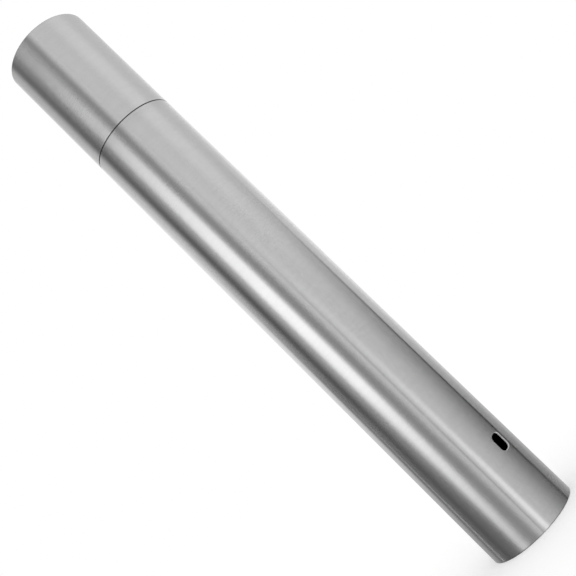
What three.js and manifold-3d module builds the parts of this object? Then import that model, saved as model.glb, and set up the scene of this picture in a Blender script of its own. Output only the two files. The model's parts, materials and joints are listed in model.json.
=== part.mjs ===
// A stainless steel document tube: a long round body closed by a pressed base plate, and a
// pull-off cap of the same diameter that slips over an inner neck sleeve.
// Millimetres, +Z up. The tube stands on its base at z = 0, centred on the Z axis, and the
// slot in the body faces -Y.
import * as THREE from "three";
import { mergeVertices } from "three/addons/utils/BufferGeometryUtils.js";
import Module from "manifold-3d";

// Outer tubes: one stock of tube makes the body and the cap
const TUBE_DIAMETER = 57;
const TUBE_WALL = 1;
const OVERALL_LENGTH = 400;
const CAP_LENGTH = 80;
const SEAM_GAP = 0.3; // left between the body's mouth and the cap's rim when the cap is home
const END_ROUNDING = 0.5; // ground corner at the closed end of each tube
const SEAM_ROUNDING = 0.25; // broken corner on each side of the seam

// End plates: shallow pressed cups, set flush in the closed ends with the rim turned inwards
const PLATE_SHEET = 1;
const PLATE_RIM = 8;
const PLATE_BEND = 1.5; // outside radius where the face turns into the rim
const PLATE_CLEARANCE = 0.1; // between the rim and the tube, all round

// Neck sleeve: fixed in the body's mouth, and the cap slides over what stands out of it
const NECK_WALL = 0.8;
const NECK_SEAT = 30; // length held inside the body
const NECK_REACH = 36; // length that stands out into the cap
const NECK_CLEARANCE = 0.1; // running fit between the sleeve and the tube, all round
const LEAD_LENGTH = 4; // end of the sleeve that turns inwards to guide the cap on
const LEAD_INSET = 0.5; // how far its lip turns in
const LIP_ROUNDING = 0.25;

// Slot: punched square through the wall of the body, long side along the tube
const SLOT_LENGTH = 10.6;
const SLOT_WIDTH = 7;
const SLOT_HEIGHT = 45.9; // centre of the slot above the base
const PUNCH_OVERRUN = 2; // how far the punch runs past each face of the wall

// Facets round the axis. All pieces share them, so their flats line up and the fits stay even.
const FACETS = 96;
const CORNER_STEPS = 1; // a quarter turn in a profile takes twice this many chords
const BEND_STEPS = 2;
const SLOT_END_STEPS = 8; // a half round end of the slot takes twice this many chords

const TUBE_RADIUS = TUBE_DIAMETER / 2;
const BORE_RADIUS = TUBE_RADIUS - TUBE_WALL;
const SEAM_HEIGHT = OVERALL_LENGTH - CAP_LENGTH;
const QUARTER = Math.PI / 2;

const tubeSteel = new THREE.MeshStandardMaterial({
  name: "tube_steel",
  color: new THREE.Color(0.62, 0.62, 0.61),
  metalness: 1,
  roughness: 0.32,
});
const plateSteel = new THREE.MeshStandardMaterial({
  name: "plate_steel",
  color: new THREE.Color(0.6, 0.6, 0.6),
  metalness: 1,
  roughness: 0.38,
});
const neckSteel = new THREE.MeshStandardMaterial({
  name: "neck_steel",
  color: new THREE.Color(0.66, 0.66, 0.66),
  metalness: 1,
  roughness: 0.22,
});

// Turns a closed section, drawn as radius and height, once round the Z axis.
function revolve(section, steps) {
  const turned = new THREE.LatheGeometry(section.getPoints(steps), FACETS);
  return turned.rotateX(QUARTER);
}

// Section of a tube from one height to another, with its two outer corners rounded.
function tubeSection(low, high, lowRounding, highRounding) {
  const section = new THREE.Path();
  section.moveTo(BORE_RADIUS, low);
  section.lineTo(TUBE_RADIUS - lowRounding, low);
  section.absarc(TUBE_RADIUS - lowRounding, low + lowRounding, lowRounding, -QUARTER, 0);
  section.lineTo(TUBE_RADIUS, high - highRounding);
  section.absarc(TUBE_RADIUS - highRounding, high - highRounding, highRounding, 0, QUARTER);
  section.lineTo(BORE_RADIUS, high);
  section.lineTo(BORE_RADIUS, low);
  return section;
}

// Section of a pressed end plate: flat face on z = 0, rim standing up from it.
function plateSection() {
  const outer = BORE_RADIUS - PLATE_CLEARANCE;
  const inner = outer - PLATE_SHEET;
  const innerBend = PLATE_BEND - PLATE_SHEET;
  const section = new THREE.Path();
  section.moveTo(0, 0);
  section.lineTo(outer - PLATE_BEND, 0);
  section.absarc(outer - PLATE_BEND, PLATE_BEND, PLATE_BEND, -QUARTER, 0);
  section.lineTo(outer, PLATE_RIM);
  section.lineTo(inner, PLATE_RIM);
  section.lineTo(inner, PLATE_BEND);
  section.absarc(inner - innerBend, PLATE_BEND, innerBend, 0, -QUARTER, true);
  section.lineTo(0, PLATE_SHEET);
  return section;
}

// Section of the neck sleeve, whose top end turns inwards and has a rounded lip.
function neckSection() {
  const outer = BORE_RADIUS - NECK_CLEARANCE;
  const inner = outer - NECK_WALL;
  const foot = SEAM_HEIGHT - NECK_SEAT;
  const lip = SEAM_HEIGHT + NECK_REACH;
  const bend = lip - LEAD_LENGTH;
  const lipOuter = outer - LEAD_INSET;
  const section = new THREE.Path();
  section.moveTo(inner, foot);
  section.lineTo(outer, foot);
  section.lineTo(outer, bend);
  section.quadraticCurveTo(outer, lip - LEAD_LENGTH / 2, lipOuter, lip - LIP_ROUNDING);
  section.lineTo(lipOuter - LIP_ROUNDING, lip);
  section.lineTo(inner - LEAD_INSET, lip);
  section.quadraticCurveTo(inner, lip - LEAD_LENGTH / 2, inner, bend);
  section.lineTo(inner, foot);
  return section;
}

// The punch for the slot: a bar with half round ends, lying across the wall at -Y.
function slotPunch() {
  const halfWidth = SLOT_WIDTH / 2;
  const straight = SLOT_LENGTH / 2 - halfWidth;
  const outline = new THREE.Shape();
  outline.absarc(0, straight, halfWidth, 0, Math.PI);
  outline.absarc(0, -straight, halfWidth, Math.PI, 2 * Math.PI);
  const innerFace = Math.sqrt(BORE_RADIUS ** 2 - halfWidth ** 2) - PUNCH_OVERRUN;
  const outerFace = TUBE_RADIUS + PUNCH_OVERRUN;
  const bar = new THREE.ExtrudeGeometry(outline, {
    depth: outerFace - innerFace,
    bevelEnabled: false,
    curveSegments: 2 * SLOT_END_STEPS,
  });
  return bar.rotateX(QUARTER).translate(0, -innerFace, SLOT_HEIGHT);
}

const wasm = await Module();
wasm.setup();

function toSolid(geometry) {
  const bare = geometry.clone();
  bare.deleteAttribute("normal");
  bare.deleteAttribute("uv");
  const merged = mergeVertices(bare, 1e-3);
  return new wasm.Manifold(
    new wasm.Mesh({
      numProp: 3,
      vertProperties: merged.attributes.position.array,
      triVerts: new Uint32Array(merged.index.array),
    }),
  );
}

function toGeometry(solid) {
  const { vertProperties, triVerts } = solid.getMesh();
  const geometry = new THREE.BufferGeometry();
  geometry.setAttribute("position", new THREE.BufferAttribute(vertProperties, 3));
  geometry.setIndex(new THREE.BufferAttribute(triVerts, 1));
  geometry.computeVertexNormals();
  return geometry;
}

function piece(name, geometry, material) {
  const mesh = new THREE.Mesh(geometry, material);
  mesh.name = name;
  return mesh;
}

function bodyTube() {
  const bodyTop = SEAM_HEIGHT - SEAM_GAP;
  const wall = revolve(tubeSection(0, bodyTop, END_ROUNDING, SEAM_ROUNDING), CORNER_STEPS);
  const slotted = toSolid(wall).subtract(toSolid(slotPunch()));
  return piece("body_tube", toGeometry(slotted), tubeSteel);
}

function basePlate() {
  return piece("base_plate", revolve(plateSection(), BEND_STEPS), plateSteel);
}

function neckSleeve() {
  return piece("neck_sleeve", revolve(neckSection(), BEND_STEPS), neckSteel);
}

// The cap's parts are drawn from its own seam end, so that they lift off as one group.
function cap() {
  const wall = revolve(tubeSection(0, CAP_LENGTH, SEAM_ROUNDING, END_ROUNDING), CORNER_STEPS);
  const plate = piece("cap_plate", revolve(plateSection(), BEND_STEPS), plateSteel);
  plate.rotation.x = Math.PI;
  plate.position.z = CAP_LENGTH;
  const group = new THREE.Group();
  group.add(piece("cap_tube", wall, tubeSteel), plate);
  group.position.z = SEAM_HEIGHT;
  return group;
}

const documentTube = new THREE.Group();
documentTube.add(bodyTube(), basePlate(), neckSleeve(), cap());

export default documentTube;
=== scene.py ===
"""Looks of a stainless steel document tube, built round its fixed frame. Metres, +Z up, slot at -Y."""

import json
import math
from collections import namedtuple

import bmesh
import bpy
from mathutils import Matrix, Vector


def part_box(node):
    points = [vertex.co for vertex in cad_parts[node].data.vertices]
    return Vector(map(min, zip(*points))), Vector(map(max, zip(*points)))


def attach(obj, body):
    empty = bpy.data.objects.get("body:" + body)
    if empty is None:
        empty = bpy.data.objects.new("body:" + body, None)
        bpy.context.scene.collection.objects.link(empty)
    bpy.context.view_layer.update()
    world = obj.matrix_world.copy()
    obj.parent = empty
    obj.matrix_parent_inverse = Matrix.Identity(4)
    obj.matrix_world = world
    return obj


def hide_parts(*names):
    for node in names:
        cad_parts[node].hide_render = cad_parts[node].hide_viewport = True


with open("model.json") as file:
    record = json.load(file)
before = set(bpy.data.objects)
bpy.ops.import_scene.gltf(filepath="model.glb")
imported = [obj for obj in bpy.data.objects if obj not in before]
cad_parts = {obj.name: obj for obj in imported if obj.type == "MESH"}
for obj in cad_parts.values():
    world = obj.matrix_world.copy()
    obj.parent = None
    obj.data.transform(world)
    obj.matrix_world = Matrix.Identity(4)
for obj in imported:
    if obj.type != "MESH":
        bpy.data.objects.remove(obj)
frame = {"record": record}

bl_info = {
    "name": "Steel Document Tube",
    "version": (1, 0, 0),
    "blender": (4, 5, 0),
    "location": "View3D > Sidebar > Document Tube",
    "description": "Builds a satin steel document tube with a pull-off cap, and a studio for it",
    "category": "Object",
}

MILLIMETRE = 0.001
MICROMETRE = 0.000001
QUARTER_TURN = math.pi / 2
HALF_TURN = math.pi
FULL_TURN = math.tau
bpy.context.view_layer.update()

BODY_LOW, BODY_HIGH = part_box("body_tube")
CAP_LOW, CAP_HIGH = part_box("cap_tube")
NECK_LOW, NECK_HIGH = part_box("neck_sleeve")
PLATE_LOW, PLATE_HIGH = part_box("base_plate")
COLOURS = {row["slot"]: row["base_color"][:3] for row in frame["record"]["materials"]}

CORNER_STEPS = 6  # chords of each rounded corner
LEAD_STEPS = 12  # chords of the neck's lead

# The window opened in the wall round the slot, and the rings of faces that fill it again
WINDOW_COLUMNS = 15  # flats on each side of the slot's middle
WINDOW_ROWS = 26
WINDOW_HALF_HEIGHT = 9.1 * MILLIMETRE
RING_STEPS = 9
RING_CROWDING = 1.4  # above 1, the rings crowd in towards the slot
EDGE_STEPS = 5  # chords of the drawn-in edge and of the broken one
NEARLY = 0.01 * MILLIMETRE  # a vertex this near the radius of a face lies on it
TINY = 1e-9  # keeps divisions off zero


def length(label, text, default):
    return bpy.props.FloatProperty(
        name=label, description=text, default=default, min=0.0, unit="LENGTH", precision=5
    )


def share(label, text, default):
    return bpy.props.FloatProperty(
        name=label, description=text, default=default, min=0.0, max=1.0, subtype="FACTOR"
    )


def colour(label, text, default):
    return bpy.props.FloatVectorProperty(
        name=label, description=text, default=default, size=3, min=0.0, max=1.0, subtype="COLOR"
    )


class TubeShape(bpy.types.PropertyGroup):
    """Sizes of the steel pieces that the frame's boxes don't give."""

    facets: bpy.props.IntProperty(
        name="Facets", description="Flats round each turned piece", default=384, min=96
    )
    tube_wall: length("Tube Wall", "Thickness of both outer tubes", 1.0 * MILLIMETRE)
    end_rounding: length("End Rounding", "Ground corner of the closed ends", 0.5 * MILLIMETRE)
    seam_rounding: length("Seam Rounding", "Broken corner at the seam", 0.25 * MILLIMETRE)
    deburr: length("Deburring", "Broken corner of the inner edges", 0.12 * MILLIMETRE)
    plate_sheet: length("Plate Sheet", "Thickness of the end plates", 1.0 * MILLIMETRE)
    plate_bend: length("Plate Bend", "Outside radius of the pressed rim", 1.5 * MILLIMETRE)
    neck_wall: length("Neck Wall", "Thickness of the neck sleeve", 0.8 * MILLIMETRE)
    lead_length: length("Lead Length", "End of the neck that turns in", 4.0 * MILLIMETRE)
    lead_inset: length("Lead Inset", "How far the neck's lip turns in", 0.5 * MILLIMETRE)
    lip_rounding: length("Lip Rounding", "Rounded lip of the neck", 0.25 * MILLIMETRE)
    slot_length: length("Slot Length", "Slot along the tube", 10.6 * MILLIMETRE)
    slot_width: length("Slot Width", "Slot across the tube", 7.0 * MILLIMETRE)
    slot_corner: length("Slot Corner", "Radius of the slot's corners", 2.6 * MILLIMETRE)
    slot_height: length("Slot Height", "Middle of the slot above the base", 45.5 * MILLIMETRE)
    slot_roll: length("Slot Roll", "Edge that the punch drew in", 0.22 * MILLIMETRE)
    slot_burr: length("Slot Burr", "Broken edge inside the slot", 0.1 * MILLIMETRE)


class SteelFinish(bpy.types.PropertyGroup):
    """Colours, roughness and grain of the steel."""

    tube_colour: colour("Tube", "Satin steel of body and cap", (0.62, 0.62, 0.62))
    plate_colour: colour("Plates", "Pressed end plates", COLOURS["plate_steel"])
    neck_colour: colour("Neck", "Smoother steel of the neck", COLOURS["neck_steel"])
    bore_colour: colour("Bore", "Mill finish inside the tubes", (0.4, 0.4, 0.4))
    edge_colour: colour("Punched Edge", "Bright sheared edge of the slot", (0.9, 0.9, 0.9))
    edge_roughness: share("Edge Roughness", "Roughness of the sheared edge", 0.8)
    edge_metal: share("Edge Metalness", "How much the sheared edge mirrors", 0.2)
    tube_roughness: share("Tube Roughness", "Roughness of the satin finish", 0.25)
    plate_roughness: share("Plate Roughness", "Roughness of the end plates", 0.36)
    neck_roughness: share("Neck Roughness", "Roughness of the neck", 0.27)
    bore_roughness: share("Bore Roughness", "Roughness inside the tubes", 0.5)
    tube_stretch: share("Tube Stretch", "How far reflections in the tubes are drawn out", 1.0)
    plate_stretch: share("Plate Stretch", "The same for the end plates", 0.6)
    neck_stretch: share("Neck Stretch", "The same for the neck", 0.5)
    # Painted shade: a dark band in the colour at the rounded corners of the closed ends, standing in
    # for a darker reflection there.
    end_painted_shade: length("End Shade", "Dull band at the closed ends", 0.6 * MILLIMETRE)
    end_tone: share("End Tone", "Share of the colour left in that band", 0.5)
    # Painted shadow: a dark band in the colour each side of the seam, standing in for the shadow in
    # the gap between body and cap.
    seam_painted_shade: length("Seam Shade", "Dark band each side of the seam", 0.5 * MILLIMETRE)
    seam_tone: share("Seam Tone", "Share of the colour left at the seam", 0.2)
    # Painted shade: the body's last millimetres below the seam are darkened in the colour, standing in
    # for dimmer reflections there.
    mouth_painted_shade: length("Mouth Shade", "Dulled band at the body's mouth", 9.0 * MILLIMETRE)
    mouth_painted_darkening: share("Mouth Dulling", "Share of the colour lost at the mouth", 0.06)
    grain_pitch: length("Grain Pitch", "Distance between brush lines", 0.16 * MILLIMETRE)
    grain_depth: length("Grain Depth", "Depth of the brush lines", 0.25 * MICROMETRE)


class StudioSettings(bpy.types.PropertyGroup):
    """Camera, floor and light."""

    camera_place: bpy.props.FloatVectorProperty(
        name="Camera Place", description="Where the camera stands", size=3, unit="LENGTH",
        precision=5, default=(-0.3145, -0.32342, 0.11543),
    )
    camera_aim: bpy.props.FloatVectorProperty(
        name="Camera Aim", description="Point that the camera looks at", size=3, unit="LENGTH",
        precision=5, default=(-0.0007, 0.00067, 0.18741),
    )
    camera_roll: bpy.props.FloatProperty(
        name="Camera Roll", description="How far the camera leans over to its right",
        subtype="ANGLE", default=math.radians(45.584),
    )
    lens: bpy.props.FloatProperty(
        name="Lens", description="Focal length in millimetres", default=48.972, min=10.0
    )
    floor_size: length("Floor Size", "Side of the square floor", 40.0)
    floor_colour: colour("Floor", "Pale floor", (0.9, 0.9, 0.9))
    floor_lift: share("Floor Lift", "Light added to the floor that the camera sees", 0.14)
    card_distance: length("Card Distance", "From the tube's axis to the light cards", 0.75)
    card_gap: length("Card Gap", "Each card stands this much in front of the last", 0.01)
    card_level: bpy.props.FloatProperty(
        name="Card Level", description="Scales the light of all cards", default=0.92, min=0.0
    )
    world_level: bpy.props.FloatProperty(
        name="White Surround", description="Level of the white studio all round", default=1.0
    )


class DocumentTubeSettings(bpy.types.PropertyGroup):
    """Everything that a user would change, in three groups."""

    shape: bpy.props.PointerProperty(type=TubeShape)
    finish: bpy.props.PointerProperty(type=SteelFinish)
    studio: bpy.props.PointerProperty(type=StudioSettings)


# Sections: lists of (radius, height) points, run anticlockwise so that the turned faces look out.


def corner(radius, height, rounding, start, turn=QUARTER_TURN):
    """Points of a round corner whose centre is at radius, height."""
    angles = [start + turn * step / CORNER_STEPS for step in range(CORNER_STEPS + 1)]
    return [(radius + rounding * math.cos(a), height + rounding * math.sin(a)) for a in angles]


def closed(points):
    return points + points[:1]


def tube_section(shape, low, high, low_rounding, high_rounding, rows=()):
    """Section of an outer tube. rows are extra heights on both faces, from low to high."""
    outer = BODY_HIGH.x
    bore = outer - shape.tube_wall
    inside = shape.deburr
    return closed(
        corner(bore + inside, low + inside, inside, -HALF_TURN)
        + corner(outer - low_rounding, low + low_rounding, low_rounding, -QUARTER_TURN)
        + [(outer, row) for row in rows]
        + corner(outer - high_rounding, high - high_rounding, high_rounding, 0)
        + corner(bore + inside, high - inside, inside, QUARTER_TURN)
        + [(bore, row) for row in reversed(rows)]
    )


def plate_section(shape):
    """Section of a pressed plate, face down, from the axis out and back to the axis."""
    outer = PLATE_HIGH.x
    rim = PLATE_HIGH.z - PLATE_LOW.z
    inner = outer - shape.plate_sheet
    bend = shape.plate_bend
    inner_bend = bend - shape.plate_sheet
    edge = shape.deburr
    return (
        [(0.0, 0.0)]
        + corner(outer - bend, bend, bend, -QUARTER_TURN)
        + corner(outer - edge, rim - edge, edge, 0)
        + corner(inner + edge, rim - edge, edge, QUARTER_TURN)
        + corner(inner - inner_bend, bend, inner_bend, 0, -QUARTER_TURN)
        + [(0.0, shape.plate_sheet)]
    )


def neck_section(shape):
    """Section of the neck sleeve, whose upper end turns in towards its rounded lip."""
    outer = NECK_HIGH.x
    wall = shape.neck_wall
    edge = shape.deburr
    lip = shape.lip_rounding
    bend = NECK_HIGH.z - shape.lead_length
    top = NECK_HIGH.z - lip
    rises = [step / LEAD_STEPS for step in range(LEAD_STEPS + 1)]
    lead = [(shape.lead_inset * rise**2, bend + (top - bend) * rise) for rise in rises]
    lip_outer = outer - shape.lead_inset - lip
    lip_inner = outer - shape.lead_inset - wall + lip
    return closed(
        corner(outer - wall + edge, NECK_LOW.z + edge, edge, -HALF_TURN)
        + corner(outer - edge, NECK_LOW.z + edge, edge, -QUARTER_TURN)
        + [(outer - inset, height) for inset, height in lead]
        + corner(lip_outer, top, lip, 0)[1:]
        + corner(lip_inner, top, lip, QUARTER_TURN)[:-1]
        + [(outer - wall - inset, height) for inset, height in reversed(lead)]
    )


# Nodes, in shaders and in geometry.


def feed(tree, source, socket):
    """Links a socket into another, or sets a plain value there."""
    if isinstance(source, bpy.types.NodeSocket):
        tree.links.new(source, socket)
    else:
        socket.default_value = source


def add_node(tree, kind, sources=None, **settings):
    """A new node with its settings made and its inputs, given by name or number, fed."""
    made = tree.nodes.new(kind)
    for name, value in settings.items():
        setattr(made, name, value)
    for key, source in (sources or {}).items():
        feed(tree, source, made.inputs[key])
    return made


def math_node(tree, operation, first, *others):
    """Runs one maths operation over the values two at a time, or over a single one."""
    result = first
    for other in others or (0.0,):
        sources = {0: result, 1: other}
        result = add_node(tree, "ShaderNodeMath", sources, operation=operation).outputs[0]
    return result


def turning_tree():
    """A grid whose rows follow the section's points and whose columns go round the Z axis."""
    name = "Turn Section"
    if name in bpy.data.node_groups:
        return bpy.data.node_groups[name]
    tree = bpy.data.node_groups.new(name, "GeometryNodeTree")
    for label, kind in (
        ("Section", "NodeSocketGeometry"),
        ("Facets", "NodeSocketInt"),
        ("Weld Distance", "NodeSocketFloat"),
        ("Material", "NodeSocketMaterial"),
    ):
        tree.interface.new_socket(label, in_out="INPUT", socket_type=kind)
    tree.interface.new_socket("Piece", in_out="OUTPUT", socket_type="NodeSocketGeometry")
    given = add_node(tree, "NodeGroupInput").outputs
    section = given["Section"]
    facets = given["Facets"]

    domain_size = "GeometryNodeAttributeDomainSize"
    size = add_node(tree, domain_size, {"Geometry": section}, component="MESH")
    rows = size.outputs["Point Count"]
    columns = math_node(tree, "ADD", facets, 1.0)
    grid = add_node(tree, "GeometryNodeMeshGrid", {"Vertices X": columns, "Vertices Y": rows})

    index = add_node(tree, "GeometryNodeInputIndex").outputs[0]
    place = add_node(tree, "GeometryNodeInputPosition").outputs[0]
    row, column = (
        add_node(tree, "FunctionNodeIntegerMath", {0: index, 1: rows}, operation=operation)
        for operation in ("MODULO", "DIVIDE_FLOOR")
    )
    point = add_node(
        tree,
        "GeometryNodeSampleIndex",
        {"Geometry": section, "Value": place, "Index": row.outputs[0]},
        data_type="FLOAT_VECTOR",
        domain="POINT",
    )
    turns = math_node(tree, "DIVIDE", column.outputs[0], facets)
    angle = math_node(tree, "MULTIPLY", turns, FULL_TURN)
    sources = {"Vector": point.outputs[0], "Angle": angle}
    turned = add_node(tree, "ShaderNodeVectorRotate", sources, rotation_type="Z_AXIS")

    piece = grid.outputs["Mesh"]
    for kind, more in (
        ("GeometryNodeSetPosition", {"Position": turned.outputs[0]}),
        ("GeometryNodeMergeByDistance", {"Distance": given["Weld Distance"]}),
        ("GeometryNodeSetShadeSmooth", {}),
        ("GeometryNodeRealizeInstances", {}),
        ("GeometryNodeSetMaterial", {"Material": given["Material"]}),
    ):
        piece = add_node(tree, kind, {"Geometry": piece, **more}).outputs[0]
    add_node(tree, "NodeGroupOutput", {"Piece": piece})
    return tree


def bake_modifiers(piece):
    """Turns the evaluated piece into a plain mesh and drops its modifiers."""
    evaluated = piece.evaluated_get(bpy.context.evaluated_depsgraph_get())
    mesh = bpy.data.meshes.new_from_object(evaluated)
    piece.modifiers.clear()
    old = piece.data
    piece.data = mesh
    mesh.name = piece.name
    bpy.data.meshes.remove(old)


def turn(node, section, slot, settings):
    """A new object for a node of the frame, whose mesh is the section turned round the Z axis."""
    name = node + "_steel"
    drawing = bpy.data.meshes.new(name + "_section")
    edges = [(start, start + 1) for start in range(len(section) - 1)]
    drawing.from_pydata([(radius, 0.0, height) for radius, height in section], edges, [])
    piece = bpy.data.objects.new(name, drawing)
    bpy.context.scene.collection.objects.link(piece)
    tree = turning_tree()
    modifier = piece.modifiers.new("Turn Section", "NODES")
    modifier.node_group = tree
    inputs = {
        "Facets": settings.shape.facets,
        "Weld Distance": MICROMETRE,
        "Material": steel(slot, settings.finish),
    }
    for item in tree.interface.items_tree:
        if item.in_out == "INPUT" and item.name in inputs:
            modifier[item.identifier] = inputs[item.name]
    bake_modifiers(piece)
    piece.data.materials.pop(index=0)  # the grid's own empty slot
    return piece


def even_shading(piece):
    """Lets the large faces set the shading, so that the small rounded corners don't bend it."""
    modifier = piece.modifiers.new("Weighted Normal", "WEIGHTED_NORMAL")
    modifier.mode = "FACE_AREA"
    bake_modifiers(piece)


# The slot: the wall's grid is opened in a window, and rings of faces lead down to the punched edge.


def slot_outline(shape, angle, offset):
    """Point of the slot's outline, grown by offset, in the direction of angle from its middle."""
    half_width = shape.slot_width / 2
    half_length = shape.slot_length / 2
    corner_radius = shape.slot_corner
    across, along = math.cos(angle), math.sin(angle)
    middle = Vector((half_width - corner_radius, half_length - corner_radius))
    side = half_width / max(abs(across), TINY)
    end = half_length / max(abs(along), TINY)
    if side * abs(along) <= middle.y:
        spot = Vector((half_width + offset, side * abs(along)))
    elif end * abs(across) <= middle.x:
        spot = Vector((end * abs(across), half_length + offset))
    else:
        heading = Vector((abs(across), abs(along)))
        reach = heading.dot(middle) + math.sqrt(corner_radius**2 - heading.cross(middle) ** 2)
        spot = heading * reach
        spot += (spot - middle).normalized() * offset
    return Vector((math.copysign(spot.x, across), math.copysign(spot.y, along)))


def window_ring(bm, radius, height):
    """Open edge of the window in the face of that radius, anticlockwise as seen from -Y."""
    ring = set()
    for edge in bm.edges:
        if edge.is_boundary:
            ring.update(v for v in edge.verts if abs(v.co.xy.length - radius) < NEARLY)
    return sorted(ring, key=lambda v: math.atan2(v.co.z - height, v.co.x))


def open_window(bm, shape):
    """Deletes the wall's faces round the slot, inside and outside."""
    half_angle = WINDOW_COLUMNS * FULL_TURN / shape.facets
    doomed = []
    for face in bm.faces:
        middle = face.calc_center_median()
        turned = abs(math.atan2(middle.x, -middle.y))
        off_height = abs(middle.z - shape.slot_height)
        if turned < half_angle and off_height < WINDOW_HALF_HEIGHT:
            doomed.append(face)
    bmesh.ops.delete(bm, geom=doomed, context="FACES")


def punch_slot(piece, shape):
    """Cuts the slot through the wall at -Y, with a drawn-in outer edge and a broken inner one."""
    outer = BODY_HIGH.x
    bore = outer - shape.tube_wall
    height = shape.slot_height
    bm = bmesh.new()
    bm.from_mesh(piece.data)
    cut = bm.verts.layers.float.new("cut_edge")
    open_window(bm, shape)
    outside = window_ring(bm, outer, height)
    inside = window_ring(bm, bore, height)
    expected = 2 * (2 * WINDOW_COLUMNS + WINDOW_ROWS)
    if len(outside) != expected or len(inside) != expected:
        raise RuntimeError("the window round the slot didn't open as two like rings")
    angles = [math.atan2(v.co.z - height, v.co.x) for v in outside]

    def ring(radius, offset, sink, cut_value, window=None, spread=0.0):
        """One ring of vertices on the wall's face of that radius, sunk along Y."""
        made = []
        for number, angle in enumerate(angles):
            spot = slot_outline(shape, angle, offset)
            if window:
                edge = Vector((window[number].co.x, window[number].co.z - height))
                spot = spot.lerp(edge, spread)
            depth = -math.sqrt(radius**2 - spot.x**2) + sink
            vertex = bm.verts.new((spot.x, depth, spot.y + height))
            vertex[cut] = cut_value
            made.append(vertex)
        return made

    spreads = [(1 - step / RING_STEPS) ** RING_CROWDING for step in range(1, RING_STEPS)]
    turns = [QUARTER_TURN * step / EDGE_STEPS for step in range(EDGE_STEPS + 1)]
    roll, burr = shape.slot_roll, shape.slot_burr
    rings = [outside]
    rings += [ring(outer, roll, 0.0, 0.0, outside, spread) for spread in spreads]
    rings += [
        ring(outer, roll * (1 - math.sin(a)), roll * (1 - math.cos(a)), math.sin(a)) for a in turns
    ]
    rings += [
        ring(bore, burr * (1 - math.cos(a)), -burr * (1 - math.sin(a)), math.cos(a)) for a in turns
    ]
    rings += [ring(bore, burr, 0.0, 0.0, inside, spread) for spread in reversed(spreads)]
    rings.append(inside)
    for first, second in zip(rings, rings[1:]):
        count = len(first)
        for number in range(count):
            after = (number + 1) % count
            face = bm.faces.new((first[number], first[after], second[after], second[number]))
            face.smooth = True
    bm.to_mesh(piece.data)
    bm.free()


# Materials: procedural steel on Object coordinates, and on an attribute for the slot's cut edge.

NOISE_SPAN = (0.3, 0.7)  # where most of a noise's values lie
FINE_SPAN = (0.25, 0.75)  # the same for the finer brush lines
FINISH_CHANGE = (0.6 * MILLIMETRE, 0.8 * MILLIMETRE)  # depths where the bore's finish takes over
SHADE_CORE = 0.4  # inner share of a shaded band that is fully dark
ACROSS_GRAIN = 0.25  # quarter turn from round the tube to along it
MIX_SOCKETS = {"FLOAT": (2, 3, 0), "RGBA": (6, 7, 2)}  # both inputs and the output, by kind

Spot = namedtuple("Spot", "place direction radius height")


def blend_node(tree, kind, amount, first, second):
    """Mixes two numbers or two colours."""
    low, high, result = MIX_SOCKETS[kind]
    sources = {0: amount, low: first, high: second}
    return add_node(tree, "ShaderNodeMix", sources, data_type=kind).outputs[result]


def ramp_between(tree, value, low, high, low_result=0.0, high_result=1.0):
    """Maps a value smoothly from low..high to the two results, held flat outside."""
    sources = {
        "Value": value,
        "From Min": low,
        "From Max": high,
        "To Min": low_result,
        "To Max": high_result,
    }
    ramp = add_node(tree, "ShaderNodeMapRange", sources, interpolation_type="SMOOTHSTEP")
    return ramp.outputs[0]


def sway(tree, value, reach, middle=1.0, span=NOISE_SPAN):
    """Maps a noise to values up to reach on either side of the middle."""
    return ramp_between(tree, value, *span, middle - reach, middle + reach)


def noise(tree, vector, scale, detail=2.0, roughness=0.5):
    sources = {"Vector": vector, "Scale": scale, "Detail": detail, "Roughness": roughness}
    return add_node(tree, "ShaderNodeTexNoise", sources).outputs[0]


def vector_node(tree, operation, sources):
    return add_node(tree, "ShaderNodeVectorMath", sources, operation=operation).outputs


def scaled(tree, vector, factor):
    return vector_node(tree, "SCALE", {0: vector, "Scale": factor})[0]


def round_coordinates(tree):
    """Object coordinates as sockets: the place, its direction from the axis, radius and height."""
    place = add_node(tree, "ShaderNodeTexCoord").outputs["Object"]
    split = add_node(tree, "ShaderNodeSeparateXYZ", {0: place}).outputs
    flat = add_node(tree, "ShaderNodeCombineXYZ", {"X": split["X"], "Y": split["Y"]}).outputs[0]
    radius = vector_node(tree, "LENGTH", {0: flat})["Value"]
    direction = vector_node(tree, "NORMALIZE", {0: flat})[0]
    return Spot(place, direction, radius, split["Z"])


def grain(tree, direction, travel, round_scale, travel_scale, detail=3.0, roughness=0.6):
    """Noise in lines, round the axis where travel_scale is the larger scale, else along it."""
    along = math_node(tree, "MULTIPLY", travel, travel_scale)
    sources = {
        0: scaled(tree, direction, round_scale),
        1: add_node(tree, "ShaderNodeCombineXYZ", {"Z": along}).outputs[0],
    }
    drawn_out = vector_node(tree, "ADD", sources)[0]
    return noise(tree, drawn_out, 1.0, detail, roughness)


def start_steel(name, stretch, rotation=0.0):
    """A new metal material, with reflections drawn out round the axis or turned from there."""
    material = bpy.data.materials.new(name)
    material.use_nodes = True
    tree = material.node_tree
    shader = tree.nodes["Principled BSDF"]
    tangent = add_node(tree, "ShaderNodeTangent", direction_type="RADIAL", axis="Z")
    feed(tree, tangent.outputs[0], shader.inputs["Tangent"])
    shader.inputs["Metallic"].default_value = 1.0
    shader.inputs["Anisotropic"].default_value = stretch
    shader.inputs["Anisotropic Rotation"].default_value = rotation
    return material, tree, shader


def coat_steel(tree, shader, base, rough, height, depth):
    """Gives the shader its colour and roughness, and the grain's height as a bump."""
    sources = {"Strength": 1.0, "Distance": depth, "Height": height}
    bump = add_node(tree, "ShaderNodeBump", sources)
    feed(tree, base, shader.inputs["Base Color"])
    feed(tree, rough, shader.inputs["Roughness"])
    feed(tree, bump.outputs[0], shader.inputs["Normal"])


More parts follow.
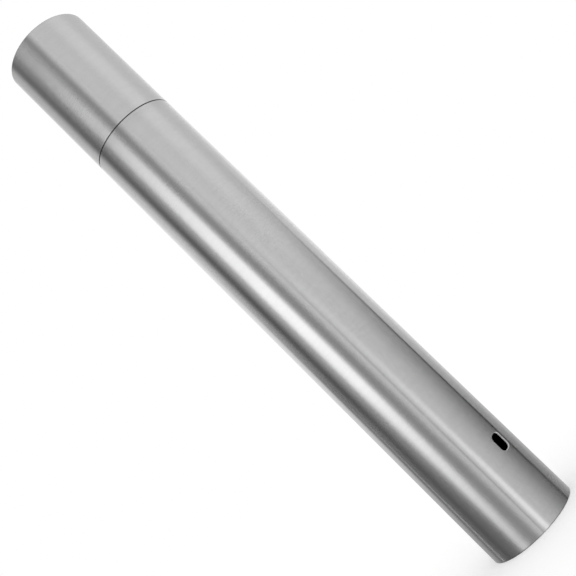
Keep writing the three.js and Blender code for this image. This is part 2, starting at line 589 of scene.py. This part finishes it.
def shade_ends(tree, shade, height, finish):
    """Darkens the shade with painted shade bands at the closed ends and at the seam, and with painted
    shade below the body's mouth.
    """
    seam = (BODY_HIGH.z + CAP_LOW.z) / 2
    for level, reach, tone in (
        (BODY_LOW.z, finish.end_painted_shade, finish.end_tone),
        (CAP_HIGH.z, finish.end_painted_shade, finish.end_tone),
        (seam, finish.seam_painted_shade, finish.seam_tone),
    ):
        away = math_node(tree, "ABSOLUTE", math_node(tree, "SUBTRACT", height, level))
        band = ramp_between(tree, away, SHADE_CORE * reach, reach, tone, 1.0)
        shade = math_node(tree, "MULTIPLY", shade, band)
    mouth = BODY_HIGH.z
    # painted shade below the body's mouth; the cap side is left as it is
    painted_darkening = ramp_between(
        tree, height, mouth - finish.mouth_painted_shade, mouth, 0.0, finish.mouth_painted_darkening
    )
    on_body = math_node(tree, "LESS_THAN", height, seam)
    kept = math_node(tree, "SUBTRACT", 1.0, math_node(tree, "MULTIPLY", painted_darkening, on_body))
    return math_node(tree, "MULTIPLY", shade, kept)


def tube_steel(name, finish):
    """Satin outside, brushed round the tube; duller mill finish in the bore; bright cut edges."""
    material, tree, shader = start_steel(name, finish.tube_stretch, ACROSS_GRAIN)
    spot = round_coordinates(tree)
    travel = math_node(tree, "ADD", spot.radius, spot.height)
    pitch = finish.grain_pitch
    fine = grain(tree, spot.direction, travel, round_scale=5.0, travel_scale=1 / pitch)
    coarse = grain(
        tree, spot.direction, travel, round_scale=2.5, travel_scale=0.12 / pitch,
        detail=2.0, roughness=0.5,
    )
    cloud = noise(tree, spot.place, scale=22.0)
    start, end = (BODY_HIGH.x - depth for depth in FINISH_CHANGE)
    in_bore = ramp_between(tree, spot.radius, start, end)
    cut = add_node(tree, "ShaderNodeAttribute", attribute_name="cut_edge").outputs["Fac"]

    shade = math_node(
        tree,
        "MULTIPLY",
        sway(tree, fine, reach=0.02, span=FINE_SPAN),
        sway(tree, coarse, reach=0.015),
        sway(tree, cloud, reach=0.015),
    )
    # painted shade: bands at the closed ends and the seam, and below the body's mouth
    shade = shade_ends(tree, shade, spot.height, finish)
    base = scaled(tree, tuple(finish.tube_colour), shade)
    base = blend_node(tree, "RGBA", in_bore, base, (*finish.bore_colour, 1.0))
    base = blend_node(tree, "RGBA", cut, base, (*finish.edge_colour, 1.0))
    rough = math_node(
        tree,
        "ADD",
        sway(tree, fine, reach=0.015, middle=finish.tube_roughness, span=FINE_SPAN),
        sway(tree, cloud, reach=0.015, middle=0.0),
    )
    rough = blend_node(tree, "FLOAT", in_bore, rough, finish.bore_roughness)
    rough = blend_node(tree, "FLOAT", cut, rough, finish.edge_roughness)
    metal = ramp_between(tree, cut, 0.0, 1.0, 1.0, finish.edge_metal)
    feed(tree, metal, shader.inputs["Metallic"])
    coat_steel(tree, shader, base, rough, fine, finish.grain_depth)
    return material


def plate_steel(name, finish):
    """Pressed sheet with fine marks turned round the middle and faint scuffs from standing."""
    material, tree, shader = start_steel(name, finish.plate_stretch, ACROSS_GRAIN)
    spot = round_coordinates(tree)
    travel = math_node(tree, "ADD", spot.radius, spot.height)
    marks_scale = 0.7 / finish.grain_pitch
    fine = grain(tree, spot.direction, travel, round_scale=3.0, travel_scale=marks_scale)
    cloud = noise(tree, spot.place, scale=60.0, detail=3.0)
    scuffs = noise(tree, spot.place, scale=900.0, detail=4.0, roughness=0.7)
    marked = sway(tree, fine, reach=0.05, span=FINE_SPAN)
    shade = math_node(tree, "MULTIPLY", marked, sway(tree, cloud, reach=0.03))
    base = scaled(tree, tuple(finish.plate_colour), shade)
    scuffed = ramp_between(tree, scuffs, low=0.5, high=0.75, high_result=0.08)
    rough = math_node(tree, "ADD", scuffed, finish.plate_roughness)
    coat_steel(tree, shader, base, rough, fine, finish.grain_depth)
    return material


def neck_steel(name, finish):
    """Smoother steel with fine lines along the tube where the cap slides over it."""
    material, tree, shader = start_steel(name, finish.neck_stretch)
    spot = round_coordinates(tree)
    lines = grain(
        tree, spot.direction, spot.height, round_scale=260.0, travel_scale=30.0, roughness=0.65
    )
    cloud = noise(tree, spot.place, scale=40.0)
    lined = sway(tree, lines, reach=0.045, middle=0.995)
    shade = math_node(tree, "MULTIPLY", lined, sway(tree, cloud, reach=0.02))
    base = scaled(tree, tuple(finish.neck_colour), shade)
    rubbed = sway(tree, lines, reach=0.045, middle=0.005)
    rough = math_node(tree, "ADD", rubbed, finish.neck_roughness)
    coat_steel(tree, shader, base, rough, lines, finish.grain_depth)
    return material


STEELS = {
    "tube_steel": ("tube_steel_satin", tube_steel),
    "plate_steel": ("plate_steel_pressed", plate_steel),
    "neck_steel": ("neck_steel_slid", neck_steel),
}


def steel(slot, finish):
    """The material of a slot, made once."""
    name, make = STEELS[slot]
    return bpy.data.materials.get(name) or make(name, finish)


def settle(piece, node, body):
    """Evens out a piece's shading, hides the frame's part for its node and gives the piece its body.
    """
    even_shading(piece)
    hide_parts(node)
    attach(piece, body)


# Operators: one for each piece or pair of pieces.


class BodyTubeOperator(bpy.types.Operator):
    """Turn the outer tube of the body and punch its slot"""

    bl_idname = "document_tube.body_tube"
    bl_label = "Body Tube"

    def execute(self, context):
        settings = context.scene.document_tube
        shape = settings.shape
        low = shape.slot_height - WINDOW_HALF_HEIGHT
        tall = 2 * WINDOW_HALF_HEIGHT
        heights = [low + tall * row / WINDOW_ROWS for row in range(WINDOW_ROWS + 1)]
        section = tube_section(
            shape, BODY_LOW.z, BODY_HIGH.z, shape.end_rounding, shape.seam_rounding, heights
        )
        piece = turn("body_tube", section, "tube_steel", settings)
        punch_slot(piece, shape)
        settle(piece, "body_tube", "tube")
        return {"FINISHED"}


class CapTubeOperator(bpy.types.Operator):
    """Turn the outer tube of the cap"""

    bl_idname = "document_tube.cap_tube"
    bl_label = "Cap Tube"

    def execute(self, context):
        settings = context.scene.document_tube
        shape = settings.shape
        section = tube_section(
            shape, CAP_LOW.z, CAP_HIGH.z, shape.seam_rounding, shape.end_rounding
        )
        piece = turn("cap_tube", section, "tube_steel", settings)
        settle(piece, "cap_tube", "cap")
        return {"FINISHED"}


class EndPlatesOperator(bpy.types.Operator):
    """Turn the two pressed plates that close the tube's ends"""

    bl_idname = "document_tube.end_plates"
    bl_label = "End Plates"

    def execute(self, context):
        settings = context.scene.document_tube
        section = plate_section(settings.shape)
        for node, body, upside_down in (("base_plate", "tube", False), ("cap_plate", "cap", True)):
            piece = turn(node, section, "plate_steel", settings)
            if upside_down:
                lift = Matrix.Translation((0, 0, CAP_HIGH.z))
                piece.data.transform(lift @ Matrix.Rotation(HALF_TURN, 4, "X"))
            settle(piece, node, body)
        return {"FINISHED"}


class NeckSleeveOperator(bpy.types.Operator):
    """Turn the inner sleeve that the cap slips over"""

    bl_idname = "document_tube.neck_sleeve"
    bl_label = "Neck Sleeve"

    def execute(self, context):
        settings = context.scene.document_tube
        piece = turn("neck_sleeve", neck_section(settings.shape), "neck_steel", settings)
        settle(piece, "neck_sleeve", "tube")
        return {"FINISHED"}


# Studio: white all round, with upright curved cards that show in reflections only. left and
# right are degrees round the tube from the camera's side, foot and head are metres above the
# floor, and level is a share of white. A card fades out over so many degrees at its sides and
# metres at its ends, all inside its edges. Later cards stand in front of earlier ones.
Card = namedtuple("Card", "name left right foot head level left_fade right_fade end_fade")
CARDS = (
    Card("low_ring", -180, 180, -3.0, 0.3, 0.54, 0, 0, 0.5),
    Card("back_panel", 140, 220, 0.2, 3.0, 1.3, 20, 20, 0.4),
    Card("left_top_flag", -158, -108, 0.42, 3.0, 0.72, 20, 12, 0.35),
    Card("fill_panel", -14, 150, 0.0, 3.0, 0.88, 20, 30, 0.4),
    Card("fill_core", 36, 100, 0.1, 1.1, 1.1, 26, 26, 0.4),
    Card("right_top_flag", 118, 178, 0.55, 3.0, 0.84, 20, 20, 0.35),
    Card("low_fill_panel", -14, 110, -3.0, 0.35, 0.83, 10, 2, 0.5),
    Card("left_foot_flag", -164, -122, -3.0, 0.0, 0.07, 16, 12, 0.4),
    Card("left_low_flag", -134, -92, -3.0, 0.45, 0.15, 14, 20, 0.35),
    Card("left_flag", -121, -57, -3.0, 3.0, 0.13, 26, 36, 0.3),
    Card("left_line", -119, -113, -3.0, 0.2, 0.8, 2, 2, 0.3),
    Card("key_top_flag", -94, -20, 0.46, 3.0, 0.17, 14, 20, 0.22),
    Card("key_strip", -68, -26, -0.22, 0.68, 2.12, 12, 13, 0.42),
    Card("key_side_flag", -92, -48, 0.38, 3.0, 0.12, 10, 18, 0.3),
    Card("key_head_panel", -97, -22, 0.56, 3.0, 0.42, 16, 18, 0.3),
    Card("key_low_flag", -92, -49, -3.0, 0.1, 0.17, 10, 11, 0.12),
    Card("key_foot_flag", -43, -22, -3.0, 0.04, 0.4, 8, 4, 0.15),
    Card("front_flag", -36, 3, -3.0, 3.0, 0.4, 16, 20, 0.3),
    Card("low_strip", 10, 29, -3.0, 0.2, 1.7, 8, 8, 0.5),
    Card("front_line", 4, 9, -3.0, 0.4, 0.45, 2, 2, 0.3),
    Card("right_low_flag", 22, 109, -3.0, 0.4, 0.2, 87, 2, 0.4),
    Card("right_foot_flag", 109, 156, -3.0, 0.3, 0.24, 0, 44, 0.5),
    Card("right_line", 104, 109.5, -3.0, 0.4, 0.0, 0, 0, 0.3),
)

CARD_COLUMN_DEGREES = 5
CARD_LEAST_COLUMNS = 4


def card_material(card, brightness):
    """Plain light or dark card whose edges fade out. Its map holds degrees and metres."""
    material = bpy.data.materials.new(card.name)
    material.use_nodes = True
    material.cycles.emission_sampling = "NONE"
    tree = material.node_tree
    tree.nodes.clear()
    uv_map = add_node(tree, "ShaderNodeUVMap", uv_map="card").outputs[0]
    place = add_node(tree, "ShaderNodeSeparateXYZ", {0: uv_map}).outputs
    shown = 1.0
    for axis, edge, inner in (
        ("X", card.left, card.left + card.left_fade),
        ("X", card.right, card.right - card.right_fade),
        ("Y", card.foot, card.foot + card.end_fade),
        ("Y", card.head, card.head - card.end_fade),
    ):
        if edge != inner:
            part = ramp_between(tree, place[axis], edge, inner)
            shown = math_node(tree, "MULTIPLY", shown, part)
    level = brightness * card.level
    glow = add_node(tree, "ShaderNodeEmission", {"Color": (level, level, level, 1.0)}).outputs[0]
    clear = add_node(tree, "ShaderNodeBsdfTransparent").outputs[0]
    mixed = add_node(tree, "ShaderNodeMixShader", {0: shown, 1: clear, 2: glow}).outputs[0]
    add_node(tree, "ShaderNodeOutputMaterial", {"Surface": mixed})
    return material


def set_card(card, number, studio):
    """An upright curved card round the tube's axis, seen by reflections only."""
    distance = studio.card_distance - number * studio.card_gap
    place = studio.camera_place
    camera_azimuth = math.atan2(place[1], place[0])
    width = card.right - card.left
    columns = max(CARD_LEAST_COLUMNS, math.ceil(width / CARD_COLUMN_DEGREES))
    turns = [card.left + width * n / columns for n in range(columns + 1)]
    angles = [camera_azimuth + math.radians(turn) for turn in turns]
    spots = [(distance * math.cos(a), distance * math.sin(a)) for a in angles]
    corners = [(x, y, z) for x, y in spots for z in (card.foot, card.head)]
    faces = [(2 * n, 2 * n + 1, 2 * n + 3, 2 * n + 2) for n in range(columns)]
    mesh = bpy.data.meshes.new(card.name)
    mesh.from_pydata(corners, [], faces)
    layer = mesh.uv_layers.new(name="card")
    for loop in mesh.loops:
        column, top = divmod(loop.vertex_index, 2)
        layer.uv[loop.index].vector = (turns[column], card.head if top else card.foot)
    mesh.materials.append(card_material(card, studio.card_level))
    made = bpy.data.objects.new(card.name, mesh)
    bpy.context.scene.collection.objects.link(made)
    made.visible_camera = False
    made.visible_diffuse = False
    made.visible_transmission = False
    made.visible_volume_scatter = False
    made.visible_shadow = False


def white_surround(level):
    world = bpy.data.worlds.new("white_studio")
    world.use_nodes = True
    background = world.node_tree.nodes["Background"]
    background.inputs["Color"].default_value = (1.0, 1.0, 1.0, 1.0)
    background.inputs["Strength"].default_value = level
    bpy.context.scene.world = world


def floor_material(studio):
    """Pale floor that reads as white to the camera where no shadow falls."""
    material = bpy.data.materials.new("pale_floor")
    material.use_nodes = True
    tree = material.node_tree
    shader = tree.nodes["Principled BSDF"]
    shader.inputs["Base Color"].default_value = (*studio.floor_colour, 1.0)
    shader.inputs["Roughness"].default_value = 0.9
    shader.inputs["Specular IOR Level"].default_value = 0.0
    shader.inputs["Emission Color"].default_value = (1.0, 1.0, 1.0, 1.0)
    rays = add_node(tree, "ShaderNodeLightPath").outputs
    kinds = ("Is Camera Ray", "Is Glossy Ray", "Is Transmission Ray")
    seen = math_node(tree, "MAXIMUM", *(rays[kind] for kind in kinds))
    lift = math_node(tree, "MULTIPLY", seen, studio.floor_lift)
    feed(tree, lift, shader.inputs["Emission Strength"])
    return material


def lay_floor(studio):
    half = studio.floor_size / 2
    mesh = bpy.data.meshes.new("floor")
    mesh.from_pydata(
        [(-half, -half, 0), (half, -half, 0), (half, half, 0), (-half, half, 0)], [], [(0, 1, 2, 3)]
    )
    mesh.materials.append(floor_material(studio))
    floor = bpy.data.objects.new("floor", mesh)
    bpy.context.scene.collection.objects.link(floor)
    floor.visible_glossy = False


def set_camera(studio):
    camera = bpy.data.objects.new("camera", bpy.data.cameras.new("camera"))
    camera.data.lens = studio.lens
    camera.data.clip_start = 0.01
    place, aim = Vector(studio.camera_place), Vector(studio.camera_aim)
    upright = (aim - place).to_track_quat("-Z", "Y").to_matrix().to_4x4()
    lean = Matrix.Rotation(-studio.camera_roll, 4, "Z")
    camera.matrix_world = Matrix.Translation(place) @ upright @ lean
    bpy.context.scene.collection.objects.link(camera)
    bpy.context.scene.camera = camera


class StudioOperator(bpy.types.Operator):
    """Set up the camera, the pale floor, the white surround and the cards"""

    bl_idname = "document_tube.studio"
    bl_label = "Studio"

    def execute(self, context):
        scene = context.scene
        studio = scene.document_tube.studio
        scene.view_settings.view_transform = "Standard"
        set_camera(studio)
        white_surround(studio.world_level)
        lay_floor(studio)
        for number, card in enumerate(CARDS):
            set_card(card, number, studio)
        return {"FINISHED"}


class DocumentTubePanel(bpy.types.Panel):
    """Lists the build steps and their settings"""

    bl_label = "Document Tube"
    bl_idname = "VIEW3D_PT_document_tube"
    bl_space_type = "VIEW_3D"
    bl_region_type = "UI"
    bl_category = "Document Tube"

    def draw(self, context):
        settings = context.scene.document_tube
        for operator in OPERATORS:
            self.layout.operator(operator.bl_idname)
        for group in (settings.shape, settings.finish, settings.studio):
            box = self.layout.box()
            for name in group.__annotations__:
                box.prop(group, name)


GROUPS = (TubeShape, SteelFinish, StudioSettings, DocumentTubeSettings)
OPERATORS = (
    StudioOperator,
    BodyTubeOperator,
    CapTubeOperator,
    EndPlatesOperator,
    NeckSleeveOperator,
)


def register():
    for made in (*GROUPS, *OPERATORS, DocumentTubePanel):
        bpy.utils.register_class(made)
    bpy.types.Scene.document_tube = bpy.props.PointerProperty(type=DocumentTubeSettings)


def unregister():
    del bpy.types.Scene.document_tube
    for made in reversed((*GROUPS, *OPERATORS, DocumentTubePanel)):
        bpy.utils.unregister_class(made)


def main():
    register()
    bpy.ops.document_tube.studio()
    bpy.ops.document_tube.body_tube()
    bpy.ops.document_tube.cap_tube()
    bpy.ops.document_tube.end_plates()
    bpy.ops.document_tube.neck_sleeve()
    bpy.context.view_layer.update()


if __name__ == "__main__":
    main()
